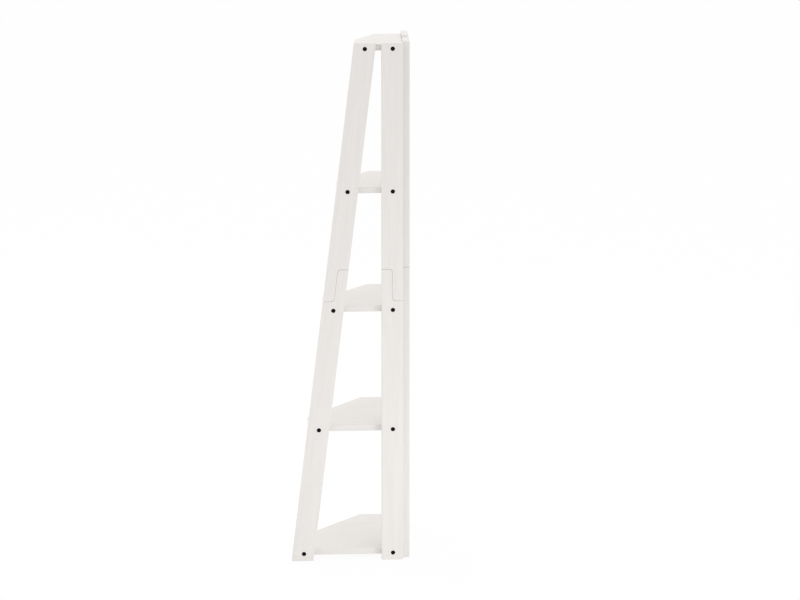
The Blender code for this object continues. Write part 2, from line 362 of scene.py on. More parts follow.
class NodeSheet:
    """A node tree with short ways to add and join its nodes."""

    def __init__(self, tree: Tree) -> None:
        """Takes the tree to work on."""
        self.tree = tree

    def feed(self, node: bpy.types.Node, inputs: Inputs) -> None:
        """Sets or joins the inputs of a node.

        Args:
            node: the node.
            inputs: its inputs.
        """
        for key, value in inputs.items():
            if isinstance(value, Socket):
                self.tree.links.new(value, node.inputs[key])
            else:
                node.inputs[key].default_value = value

    def add(self, kind: str, inputs: Inputs | None = None, **settings: object) -> bpy.types.Node:
        """Adds a node.

        Args:
            kind: the node's type.
            inputs: its inputs.
            settings: the node's own options.

        Returns:
            The new node.
        """
        node = self.tree.nodes.new(kind)
        for key, value in settings.items():
            setattr(node, key, value)
        self.feed(node, inputs or {})
        return node

    def group(self, tree: Tree, inputs: Inputs) -> bpy.types.NodeOutputs:
        """Places a shared node group.

        Args:
            tree: the group.
            inputs: its inputs.

        Returns:
            The group's outputs, by name.
        """
        return self.add("ShaderNodeGroup", inputs, node_tree=tree).outputs

    def math(self, operation: str, first: object, second: object, clamp: bool = False) -> Socket:
        """The result of a sum on two numbers or sockets.

        Args:
            operation: a Math node's operation.
            first: a number or socket.
            second: a number or socket.
            clamp: whether the result is kept between 0 and 1.

        Returns:
            The socket that holds the result.
        """
        node = self.add("ShaderNodeMath", {0: first, 1: second}, operation=operation, use_clamp=clamp)
        return node.outputs[0]

    def noise(self, place: Socket, scale: Socket, layers: float, wander: float = 0.0) -> Socket:
        """A noise value from 0 to 1.

        Args:
            place: the coordinates to read.
            scale: how many features there are to a metre.
            layers: how many finer layers it has.
            wander: how much the pattern is drawn about.

        Returns:
            The socket that holds the value.
        """
        values = {"Vector": place, "Scale": scale, "Detail": layers, "Distortion": wander}
        return self.add("ShaderNodeTexNoise", values).outputs["Fac"]

    def stretch(self, place: Socket, along: float) -> Socket:
        """Coordinates drawn out along X, the way of the grain.

        Args:
            place: the coordinates.
            along: how much is kept of each metre along the grain.

        Returns:
            The new coordinates.
        """
        values = {0: place, 1: (along, 1, 1)}
        return self.add("ShaderNodeVectorMath", values, operation="MULTIPLY").outputs[0]

    def rise(self, value: Socket, low: float, high: float, soft: bool = False) -> Socket:
        """A value that rises from 0 to 1 while another goes from low to high.

        Args:
            value: the socket to read.
            low: its value where the result is 0.
            high: its value where the result is 1.
            soft: whether the rise begins and ends gently.

        Returns:
            The socket that holds the result.
        """
        values = {"Value": value, "From Min": low, "From Max": high}
        kind = "SMOOTHSTEP" if soft else "LINEAR"
        return self.add("ShaderNodeMapRange", values, interpolation_type=kind).outputs["Result"]

    def between(self, value: Socket, low: float, high: float) -> Socket:
        """A value from 0 to 1 spread between two others.

        Args:
            value: the socket to spread.
            low: the result at 0.
            high: the result at 1.

        Returns:
            The socket that holds the result.
        """
        values = {"Value": value, "To Min": low, "To Max": high}
        return self.add("ShaderNodeMapRange", values).outputs["Result"]

    def mix(self, amount: Socket, first: object, second: object) -> Socket:
        """A mix of two colours.

        Args:
            amount: share of the second colour.
            first: a colour or socket.
            second: a colour or socket.

        Returns:
            The socket that holds the mixed colour.
        """
        values = {MIX_AMOUNT: amount, MIX_FIRST: first, MIX_SECOND: second}
        return self.add("ShaderNodeMix", values, data_type="RGBA").outputs[MIX_RESULT]

    def bump(self, height: Socket, depth: float, strength: float, under: Socket | None = None) -> Socket:
        """A normal that follows a fine relief.

        Args:
            height: the relief, from 0 to 1.
            depth: what a height of 1 stands for.
            strength: how much of it shows.
            under: the normal of a coarser relief that it lies on.

        Returns:
            The socket that holds the normal.
        """
        values = {"Height": height, "Distance": depth, "Strength": strength}
        if under is not None:
            values["Normal"] = under
        return self.add("ShaderNodeBump", values).outputs["Normal"]


def new_group(
    name: str, numbers: tuple[str, ...], results: tuple[str, ...]
) -> tuple[Tree, NodeSheet, bpy.types.NodeOutputs]:
    """A shader node group that reads a place and a few numbers, and is still empty.

    Args:
        name: the group's name.
        numbers: the names of the number inputs.
        results: the names of the outputs, which are numbers too.

    Returns:
        The group, a sheet to build it on and the sockets of what it is given.
    """
    group = bpy.data.node_groups.new(name, "ShaderNodeTree")
    group.interface.new_socket("Place", in_out="INPUT", socket_type="NodeSocketVector")
    for way, labels in (("INPUT", numbers), ("OUTPUT", results)):
        for label in labels:
            group.interface.new_socket(label, in_out=way, socket_type="NodeSocketFloat")
    sheet = NodeSheet(group)
    return group, sheet, sheet.add("NodeGroupInput").outputs


@dataclass
class SharedEffects:
    """The node groups that finishes share. A span is two noise values: none of an effect, and all of it."""

    growth_share: float = 0.05  # kept of each metre along the grain, which draws the streaks out
    growth_layers: float = 3.0
    growth_wander: float = 0.5
    growth_span: tuple[float, float] = (0.3, 0.7)
    growth_tone: float = 0.75  # share of the streaks in the tone, next to the pores
    growth_height: float = 0.4  # of a streak, where a pore is 1 deep
    pore_share: float = 0.025
    pore_layers: float = 2.0
    pore_span: tuple[float, float] = (0.56, 0.72)
    peel_layers: float = 2.0
    patch_layers: float = 4.0
    edge_samples: int = 4
    edge_gain: float = 5.0  # how soon a turn of the surface counts as an edge
    break_layers: float = 3.0
    break_span: tuple[float, float] = (0.4, 0.65)

    def __post_init__(self) -> None:
        """Builds each group once."""
        self.grain = self.build_grain()
        self.film = self.build_film()
        self.edges = self.build_edges()

    def build_grain(self) -> Tree:
        """Wood grain along X: broad growth streaks and fine pores.

        Returns:
            The group, with the outputs Tone and Height.
        """
        group, sheet, given = new_group("wood grain", ("Streaks", "Pores"), ("Tone", "Height"))
        drawn_out = sheet.stretch(given["Place"], self.growth_share)
        growth = sheet.noise(drawn_out, given["Streaks"], self.growth_layers, self.growth_wander)
        streaks = sheet.rise(growth, *self.growth_span)
        speck = sheet.noise(sheet.stretch(given["Place"], self.pore_share), given["Pores"], self.pore_layers)
        pores = sheet.rise(speck, *self.pore_span, soft=True)
        shade = sheet.math("MULTIPLY", streaks, self.growth_tone)
        tone = sheet.math("ADD", shade, sheet.math("MULTIPLY", pores, 1 - self.growth_tone))
        height = sheet.math("SUBTRACT", sheet.math("MULTIPLY", streaks, self.growth_height), pores)
        sheet.add("NodeGroupOutput", {"Tone": tone, "Height": height})
        return group

    def build_film(self) -> Tree:
        """The film of a sprayed or plated coat: a fine peel, and patches that shine a little more or less.

        Returns:
            The group, with the outputs Peel and Patches.
        """
        group, sheet, given = new_group("coat film", ("Peel Scale", "Patch Scale"), ("Peel", "Patches"))
        peel = sheet.noise(given["Place"], given["Peel Scale"], self.peel_layers)
        patches = sheet.noise(given["Place"], given["Patch Scale"], self.patch_layers)
        sheet.add("NodeGroupOutput", {"Peel": peel, "Patches": patches})
        return group

    def build_edges(self) -> Tree:
        """Where edges are rubbed, and on metal also where a highlight is painted: one on sharp edges, broken
        up by noise, and zero on flat faces.

        Returns:
            The group, with the output Rub.
        """
        group, sheet, given = new_group("rubbed edges", ("Reach", "Break Scale"), ("Rub",))
        softened = sheet.add("ShaderNodeBevel", {"Radius": given["Reach"]}, samples=self.edge_samples)
        normals = {0: softened.outputs["Normal"], 1: sheet.add("ShaderNodeNewGeometry").outputs["Normal"]}
        likeness = sheet.add("ShaderNodeVectorMath", normals, operation="DOT_PRODUCT").outputs["Value"]
        turn = sheet.math("MULTIPLY", sheet.math("SUBTRACT", 1.0, likeness), self.edge_gain, clamp=True)
        broken = sheet.noise(given["Place"], given["Break Scale"], self.break_layers)
        worn = sheet.rise(broken, *self.break_span)
        sheet.add("NodeGroupOutput", {"Rub": sheet.math("MULTIPLY", turn, worn)})
        return group


class GrainRun(Enum):
    """Which way a board's grain runs."""

    UPRIGHT = "upright"
    LEVEL = "level"
    RAKED_RIGHT = "raked right"
    RAKED_LEFT = "raked left"

    def turn(self, lean: float) -> tuple[float, float, float]:
        """The rotation that brings the grain to X.

        Args:
            lean: the front legs' angle from upright.

        Returns:
            The rotation's three angles.
        """
        turns = {
            GrainRun.UPRIGHT: (0.0, QUARTER_TURN, 0.0),
            GrainRun.LEVEL: (0.0, 0.0, 0.0),
            GrainRun.RAKED_RIGHT: (0.0, QUARTER_TURN - lean, 0.0),
            GrainRun.RAKED_LEFT: (lean, QUARTER_TURN, 0.0),
        }
        return turns[self]


def new_material(name: str) -> tuple[bpy.types.Material, NodeSheet, bpy.types.Node, Socket]:
    """A material with its Principled shader.

    Args:
        name: the material's name.

    Returns:
        The material, a sheet to build it on, the shader and the socket of the piece's own coordinates.
    """
    material = bpy.data.materials.new(name)
    material.use_nodes = True
    sheet = NodeSheet(material.node_tree)
    place = sheet.add("ShaderNodeTexCoord").outputs["Object"]
    return material, sheet, material.node_tree.nodes["Principled BSDF"], place


@dataclass(frozen=True)
class PaintFinish:
    """Satin white paint, sprayed on boards whose grain still shows faintly."""

    white: tuple[float, ...] = (0.800, 0.776, 0.752, 1)
    grain: tuple[float, ...] = (0.755, 0.730, 0.705, 1)
    rubbed: tuple[float, ...] = (0.690, 0.655, 0.610, 1)
    rub_amount: float = 0.55
    rub_reach: float = 0.002
    breaks_per_m: float = 60.0
    streaks_per_m: float = 110.0
    pores_per_m: float = 900.0
    peel_per_m: float = 650.0
    patches_per_m: float = 9.0
    roughness: tuple[float, float] = (0.40, 0.52)
    specular: float = 0.35
    grain_depth: float = 0.00012
    peel_depth: float = 0.00003
    bump_strength: float = 0.6

    def material(self, effects: SharedEffects, run: GrainRun, lean: float) -> bpy.types.Material:
        """Builds the paint for boards with one run of the grain.

        Args:
            effects: the shared node groups.
            run: which way the grain runs.
            lean: the front legs' angle from upright.

        Returns:
            The material.
        """
        material, sheet, shader, place = new_material(f"white paint, {run.value} grain")
        mapping = sheet.add("ShaderNodeMapping", {"Vector": place, "Rotation": run.turn(lean)})
        grain = sheet.group(
            effects.grain,
            {"Place": mapping.outputs["Vector"], "Streaks": self.streaks_per_m, "Pores": self.pores_per_m},
        )
        film = sheet.group(
            effects.film, {"Place": place, "Peel Scale": self.peel_per_m, "Patch Scale": self.patches_per_m}
        )
        edges = sheet.group(
            effects.edges, {"Place": place, "Reach": self.rub_reach, "Break Scale": self.breaks_per_m}
        )
        coat = sheet.mix(grain["Tone"], self.white, self.grain)
        rub = sheet.math("MULTIPLY", edges["Rub"], self.rub_amount)
        ridges = sheet.bump(grain["Height"], self.grain_depth, self.bump_strength)
        looks = {
            "Base Color": sheet.mix(rub, coat, self.rubbed),
            "Roughness": sheet.between(film["Patches"], *self.roughness),
            "Normal": sheet.bump(film["Peel"], self.peel_depth, self.bump_strength, ridges),
            "Specular IOR Level": self.specular,
        }
        sheet.feed(shader, looks)
        return material


@dataclass(frozen=True)
class SteelFinish:
    """A metal finish: a coat with fine peel, cloudy shine and edges that show the metal beneath, lighter than
    the coat, which also paints a highlight along them.
    """

    name: str
    color: tuple[float, ...]
    cloud: tuple[float, ...]
    # colour of the rubbed edges: worn metal, lighter than the coat, so also a painted highlight along the
    # edges
    bare: tuple[float, ...]
    metallic: float
    roughness: tuple[float, float]
    rub_amount: float
    rub_reach: float = 0.0004
    breaks_per_m: float = 900.0
    peel_per_m: float = 2500.0
    patches_per_m: float = 300.0
    peel_depth: float = 0.00002
    bump_strength: float = 0.5

    def material(self, effects: SharedEffects) -> bpy.types.Material:
        """Builds the finish.

        Args:
            effects: the shared node groups.

        Returns:
            The material.
        """
        material, sheet, shader, place = new_material(self.name)
        film = sheet.group(
            effects.film, {"Place": place, "Peel Scale": self.peel_per_m, "Patch Scale": self.patches_per_m}
        )
        edges = sheet.group(
            effects.edges, {"Place": place, "Reach": self.rub_reach, "Break Scale": self.breaks_per_m}
        )
        coat = sheet.mix(film["Patches"], self.color, self.cloud)
        # the rubbed edges take the lighter bare colour: worn metal, and a painted highlight along the edges
        rub = sheet.math("MULTIPLY", edges["Rub"], self.rub_amount)
        looks = {
            "Base Color": sheet.mix(rub, coat, self.bare),
            "Roughness": sheet.between(film["Patches"], *self.roughness),
            "Normal": sheet.bump(film["Peel"], self.peel_depth, self.bump_strength),
            "Metallic": self.metallic,
        }
        sheet.feed(shader, looks)
        return material


@dataclass(frozen=True)
class BeechFinish:
    """Bare beech, for the dowels inside the half laps."""

    pale: tuple[float, ...] = (0.62, 0.42, 0.24, 1)
    dark: tuple[float, ...] = (0.44, 0.27, 0.14, 1)
    roughness: tuple[float, float] = (0.5, 0.7)
    streaks_per_m: float = 500.0
    pores_per_m: float = 2500.0
    grain_depth: float = 0.0001
    bump_strength: float = 0.5

    def material(self, effects: SharedEffects) -> bpy.types.Material:
        """Builds the finish.

        Args:
            effects: the shared node groups.

        Returns:
            The material.
        """
        material, sheet, shader, place = new_material("bare beech")
        grain = sheet.group(
            effects.grain, {"Place": place, "Streaks": self.streaks_per_m, "Pores": self.pores_per_m}
        )
        looks = {
            "Base Color": sheet.mix(grain["Tone"], self.pale, self.dark),
            "Roughness": sheet.between(grain["Tone"], *self.roughness),
            "Normal": sheet.bump(grain["Height"], self.grain_depth, self.bump_strength),
        }
        sheet.feed(shader, looks)
        return material


BLACK_STEEL = SteelFinish(
    "black steel",
    color=(0.004, 0.004, 0.0045, 1),
    cloud=(0.012, 0.012, 0.013, 1),
    # worn steel on the rubbed edges, much lighter than the black: also a painted highlight along them
    bare=(0.10, 0.10, 0.105, 1),
    metallic=0.9,
    roughness=(0.34, 0.5),
    rub_amount=0.35,
)
ZINC_STEEL = SteelFinish(
    "zinc steel",
    color=(0.50, 0.51, 0.53, 1),
    cloud=(0.62, 0.63, 0.64, 1),
    bare=(0.74, 0.74, 0.74, 1),
    metallic=1.0,
    roughness=(0.26, 0.46),
    rub_amount=0.5,
)


# The bookcase


class Side(Enum):
    """One of the two ladder frames."""

    RIGHT = "right"
    LEFT = "left"


class Place(Enum):
    """One of the two legs of a frame."""

    FRONT = "front"
    REAR = "rear"


class Half(Enum):
    """One of the two boards of a leg."""

    LOWER = "lower"
    UPPER = "upper"


@dataclass(frozen=True)
class ShelfPlan:
    """Where a shelf is and how its short ends are cut. Shares are of the height and of the foot's reach."""

    node: str
    level: float  # share: height of the middle of the board
    end_inset: float  # share: end to the front leg's outer edge, at the shelf's top
    right_end: float  # share: length of the short end at the right frame
    left_end: float  # share: the same at the left frame


@dataclass(frozen=True)
class Plan:
    """The driving sizes of the bookcase, in metres."""

    height: float = 1.829
    foot_reach: float = 0.408  # across, to a front leg's outer edge, at the floor
    head_reach: float = 0.189  # the same at the top
    leg_width: float = 0.074
    leg_thickness: float = 0.023
    shelf_thickness: float = 0.022
    seat_gap: float = 0.0003  # between pieces that touch
    edge_round: float = 0.0015
    lap_level: float = 0.5391  # share of the height
    lap_length: float = 0.112
    lap_radius: float = 0.010
    lap_tip_gap: float = 0.0006  # above the lower board's tongue
    shelves: tuple[ShelfPlan, ...] = (
        ShelfPlan("shelf_1_bottom", 0.01394, 0.0184, 0.2721, 0.3260),
        ShelfPlan("shelf_2_lower", 0.25807, 0.0049, 0.2475, 0.3235),
        ShelfPlan("shelf_3_middle", 0.49071, 0.0110, 0.2549, 0.2721),
        ShelfPlan("shelf_4_upper", 0.71870, 0.0086, 0.2157, 0.2647),
        ShelfPlan("shelf_5_top", 0.98934, 0.0184, 0.1789, 0.2230),
    )

    @property
    def half_side(self) -> float:
        """Half of the square footprint's side."""
        return self.foot_reach / 2

    @property
    def rake(self) -> float:
        """How far a front leg leans for each metre of height."""
        return (self.foot_reach - self.head_reach) / self.height

    @property
    def lean(self) -> float:
        """A front leg's angle from upright."""
        return math.atan(self.rake)

    @property
    def raked_width(self) -> float:
        """A front leg's width, measured level."""
        return self.leg_width / math.cos(self.lean)

    @property
    def lap_middle(self) -> float:
        """Height of the middle of the half laps."""
        return self.lap_level * self.height

    def centre(self, shelf: ShelfPlan) -> float:
        """Height of the middle of a shelf."""
        return shelf.level * self.height

    def front_outer(self, height: float) -> float:
        """Across to a front leg's outer edge, at a height."""
        return self.foot_reach - self.rake * height

    def leg_edges(self, place: Place, height: float) -> tuple[float, float]:
        """Across to a leg's two edges at a height.

        Args:
            place: which leg of the frame.
            height: where to measure.

        Returns:
            The edge away from the lower board's tongue and the edge beside it.
        """
        if place is Place.FRONT:
            outer = self.front_outer(height)
            return outer, outer - self.raked_width
        return self.leg_thickness, self.leg_thickness + self.leg_width

    def leg_middle(self, place: Place, height: float) -> float:
        """Across to a leg's centre line, at a height."""
        return sum(self.leg_edges(place, height)) / 2

    def right_point(self, across: float, depth: float, height: float) -> Vector:
        """The place of a point of the right frame."""
        return Vector((self.half_side - across, depth - self.half_side, height))

    def to_left(self, place: Place) -> Matrix:
        """The way from a leg of the right frame to the same leg of the left one.

        Args:
            place: which leg of the frame.

        Returns:
            For a front leg a mirror about the corner, and for a rear leg a turn about its centre line.
        """
        if place is Place.FRONT:
            return Matrix(((0, -1, 0, 0), (-1, 0, 0, 0), (0, 0, 1, 0), (0, 0, 0, 1)))
        back = 2 * self.leg_middle(place, 0) - self.foot_reach
        return Matrix.Translation((0, back, 0)) @ Matrix.Rotation(QUARTER_TURN, 4, "Z")


@dataclass(frozen=True)
class Hardware:
    """Bolts, barrel nuts and their holes. Each is modelled about Z with the wall face at zero height."""

    plan: Plan
    bolt_diameter: float = 0.006
    head_diameter: float = 0.0145
    head_height: float = 0.005
    head_round: float = 0.001
    head_recess: float = 0.0008  # wall face to the top of the head
    tip_chamfer: float = 0.0008
    run_out: float = 0.003  # past the far side of the nut
    bolt_offset: float = 0.0016  # from a right-hand leg's centre line to its bolts, towards the corner
    socket_width: float = 0.005  # across flats
    socket_depth: float = 0.003
    clearance: float = 0.0003  # on the radius
    end_room: float = 0.002  # past the tip of a bolt or the end of a dowel
    mouth_ease: float = 0.0005  # widening at the mouth of a hole
    margin: float = 0.005  # how far a cutter stands out of the face that it enters
    nut_diameter: float = 0.010
    nut_length: float = 0.014
    nut_setback: float = 0.022  # shelf edge to the nut's axis
    nut_chamfer: float = 0.0006
    slot_width: float = 0.0014
    slot_depth: float = 0.0012
    dowel_diameter: float = 0.008
    dowel_length: float = 0.040

    @property
    def nut_depth(self) -> float:
        """Wall face to a nut's axis."""
        return self.plan.leg_thickness + self.plan.seat_gap + self.nut_setback

    @property
    def tip_depth(self) -> float:
        """Wall face to a bolt's tip."""
        return self.nut_depth + self.nut_diameter / 2 + self.run_out

    @property
    def head_seat(self) -> float:
        """Wall face to the underside of a bolt's head."""
        return self.head_recess + self.head_height

    def bolt(self) -> Piece:
        """Models a bolt with a rounded cap head and a hex socket.

        Returns:
            The bolt.
        """
        head = self.head_diameter / 2
        shank = self.bolt_diameter / 2
        bolt = cylinder("bolt", head, -self.head_recess, -self.head_seat)
        bevel_rim(bolt, -self.head_recess, self.head_round)
        step_in(bolt, -self.head_seat, head - shank, self.head_seat - self.tip_depth)
        bevel_rim(bolt, -self.tip_depth, self.tip_chamfer, segments=1)
        floor = -self.head_recess - self.socket_depth
        hexagon = cylinder("hex socket", self.socket_width / math.sqrt(3), self.margin, floor, sides=6)
        cut(bolt, hexagon)
        return bolt

    def nut(self) -> Piece:
        """Models a barrel nut about its own middle, with its cross hole along Y and a slot in its lower end.

        Returns:
            The nut.
        """
        half = self.nut_length / 2
        nut = cylinder("barrel nut", self.nut_diameter / 2, half, -half)
        for level in (half, -half):
            bevel_rim(nut, level, self.nut_chamfer, segments=2)
        bore_radius = self.bolt_diameter / 2 + self.clearance
        bore = cylinder("cross hole", bore_radius, self.nut_diameter, -self.nut_diameter)
        apply_place(bore, Matrix.Rotation(QUARTER_TURN, 4, "X"))
        cut(nut, bore)
        start = Vector((0, 0, -half - self.margin))
        slot = rectangle("slot", start, Vector(), 2 * self.nut_diameter, self.slot_width)
        with editing(slot):
            bpy.ops.mesh.select_all(action="SELECT")
            extrude(Vector((0, 0, self.margin + self.slot_depth)))
        face_out(slot)
        cut(nut, slot)
        return nut

    def bolt_hole(self) -> Piece:
        """Models the cutter for a bolt: an eased mouth, a counterbore, then a hole that ends in the shelf.

        Returns:
            The cutter.
        """
        head = self.head_diameter / 2 + self.clearance
        shank = self.bolt_diameter / 2 + self.clearance
        seat = -self.head_seat - self.plan.seat_gap
        hole = cylinder("bolt hole", head, -self.mouth_ease, seat)
        step_in(hole, seat, head - shank, -self.tip_depth - self.end_room - seat)
        flare(hole, -self.mouth_ease, head, 2 * self.mouth_ease, 2 * self.mouth_ease)
        return hole

    def nut_hole(self) -> Piece:
        """Models the cutter for a barrel nut, from just above the nut to an eased mouth below the shelf.

        Returns:
            The cutter.
        """
        radius = self.nut_diameter / 2 + self.clearance
        top = self.nut_length / 2 + self.plan.seat_gap
        mouth = self.mouth_ease - self.plan.shelf_thickness / 2
        hole = cylinder("nut hole", radius, top, mouth)
        flare(hole, mouth, radius, 2 * self.mouth_ease, -2 * self.mouth_ease)
        return hole

    def dowel_hole(self) -> Piece:
        """Models the cutter for a dowel, along Z."""
        half = self.dowel_length / 2 + self.end_room
        return cylinder("dowel hole", self.dowel_diameter / 2 + self.clearance, half, -half)

    def joint(self, side: Side, place: Place, shelf: ShelfPlan, depth: float) -> Matrix:
        """Where the hardware that ties a shelf to a leg goes.

        Args:
            side: which frame.
            place: which leg.
            shelf: which shelf.
            depth: distance from the wall face.

        Returns:
            The matrix that takes a model there. In the left frame it is turned a quarter and not mirrored.
        """
        height = self.plan.centre(shelf)
        across = self.plan.leg_middle(place, height) - self.bolt_offset
        point = self.plan.right_point(across, depth, height)
        if side is Side.RIGHT:
            return Matrix.Translation(point)
        return Matrix.Translation(self.plan.to_left(place) @ point) @ Matrix.Rotation(QUARTER_TURN, 4, "Z")

    def bolt_place(self, side: Side, place: Place, shelf: ShelfPlan) -> Matrix:
        """Where a bolt and its hole go: through the wall face, lying level."""
        return self.joint(side, place, shelf, 0.0) @ Matrix.Rotation(QUARTER_TURN, 4, "X")

    def nut_place(self, side: Side, place: Place, shelf: ShelfPlan) -> Matrix:
        """Where a barrel nut and its hole go: upright in the shelf."""
        return self.joint(side, place, shelf, self.nut_depth)


@dataclass
class LegBoard:
    """One board of a leg of the right frame, joined to the other by a half lap with rounded corners."""

    plan: Plan
    place: Place
    half: Half
    lap_segments: int = 10
    edge_segments: int = 4

    @property
    def levels(self) -> tuple[float, float, float]:
        """Heights of the board's end, of the shoulder of its lap and of the tip of its tongue."""
        low = self.plan.lap_middle - self.plan.lap_length / 2
        high = self.plan.lap_middle + self.plan.lap_length / 2
        if self.half is Half.LOWER:
            return 0.0, low - self.plan.seat_gap, high - self.plan.lap_tip_gap
        return self.plan.height, high, low

    def lines(self, height: float) -> tuple[float, float]:
        """X of the lap's long joint and of the tongue's edge.

        Args:
            height: where to measure.

        Returns:
            The two values of X.
        """
        shoulder, tongue = self.plan.leg_edges(self.place, height)
        gap = self.plan.seat_gap if self.half is Half.LOWER else 0.0
        joint = (shoulder + tongue) / 2 + math.copysign(gap, tongue - shoulder)
        edge = tongue if self.half is Half.LOWER else shoulder
        return self.plan.half_side - joint, self.plan.half_side - edge

    def build(self) -> Piece:
        """Models the board: a stem, a tongue drawn on from half its end, rounded lap corners, then thickness.

        Returns:
            The board, without its holes.
        """
        plan = self.plan
        end, shoulder, tip = self.levels
        outer, inner = plan.leg_edges(self.place, end)
        middle = plan.right_point((outer + inner) / 2, 0, (end + shoulder) / 2)
        upright = Vector((QUARTER_TURN, 0, 0))
        board = rectangle("leg board", middle, upright, abs(outer - inner), abs(shoulder - end))
        joint_end, _ = self.lines(end)
        joint, edge = self.lines(shoulder)
        joint_tip, edge_tip = self.lines(tip)
        lean = Vector((joint - joint_end, 0, 0))
        way = Vector((joint - joint_end, 0, shoulder - end))
        with editing(board):
            # Lean the stem over, and divide it along the line of the lap's long joint.
            pick_level(board, shoulder)
            bpy.ops.transform.translate(value=lean)
            bpy.ops.mesh.select_all(action="SELECT")
            wall = middle.y
            bpy.ops.mesh.bisect(plane_co=(joint, wall, shoulder), plane_no=(way.z, 0, -way.x))
            # Draw the tongue on, from the half of the end on its side.
            reach = abs(edge - joint) / 2 + NEAR
            pick(
                board,
                lambda place: abs(place.z - shoulder) < NEAR and abs(place.x - (edge + joint) / 2) < reach,
            )
            extrude(Vector((edge_tip - edge, 0, tip - shoulder)))
            bpy.ops.mesh.select_all(action="SELECT")
            bpy.ops.mesh.dissolve_limited(angle_limit=FLAT_ANGLE)
            # Round the lap's inner corner and the tip of the tongue beside the joint.
            corners = (Vector((joint, wall, shoulder)), Vector((joint_tip, wall, tip)))
            pick(board, lambda place: any((place - corner).length < CORNER_REACH for corner in corners))
            bpy.ops.mesh.bevel(offset=plan.lap_radius, segments=self.lap_segments, affect="VERTICES")
            bpy.ops.mesh.select_all(action="SELECT")
            extrude(Vector((0, plan.leg_thickness, 0)))
        face_out(board)
        round_edges(board, plan.edge_round, self.edge_segments)
        return board


@dataclass
class Shelf:
    """A shelf: a square back corner, two short ends and a slanted front edge."""

    plan: Plan
    shelf: ShelfPlan
    edge_segments: int = 4

    def build(self) -> Piece:
        """Models the shelf: a square, its front corner cut off, then thickness.

        Returns:
            The board, without its holes.
        """
        plan = self.plan
        centre = plan.centre(self.shelf)
        top = centre + plan.shelf_thickness / 2
        back = plan.leg_thickness + plan.seat_gap
        reach = plan.front_outer(top) - self.shelf.end_inset * plan.foot_reach
        right_end = plan.leg_thickness + self.shelf.right_end * plan.foot_reach
        left_end = plan.leg_thickness + self.shelf.left_end * plan.foot_reach
        middle = plan.right_point((back + reach) / 2, (back + reach) / 2, centre - plan.shelf_thickness / 2)
        board = rectangle("shelf board", middle, Vector(), reach - back, reach - back)
        with editing(board):
            bpy.ops.mesh.select_all(action="SELECT")
            bpy.ops.mesh.bisect(
                plane_co=plan.right_point(reach, right_end, middle.z),
                plane_no=(right_end - reach, reach - left_end, 0),
                clear_outer=True,
            )
            bpy.ops.mesh.select_all(action="SELECT")
            extrude(Vector((0, 0, plan.shelf_thickness)))
        face_out(board)
        round_edges(board, plan.edge_round, self.edge_segments)
        return board


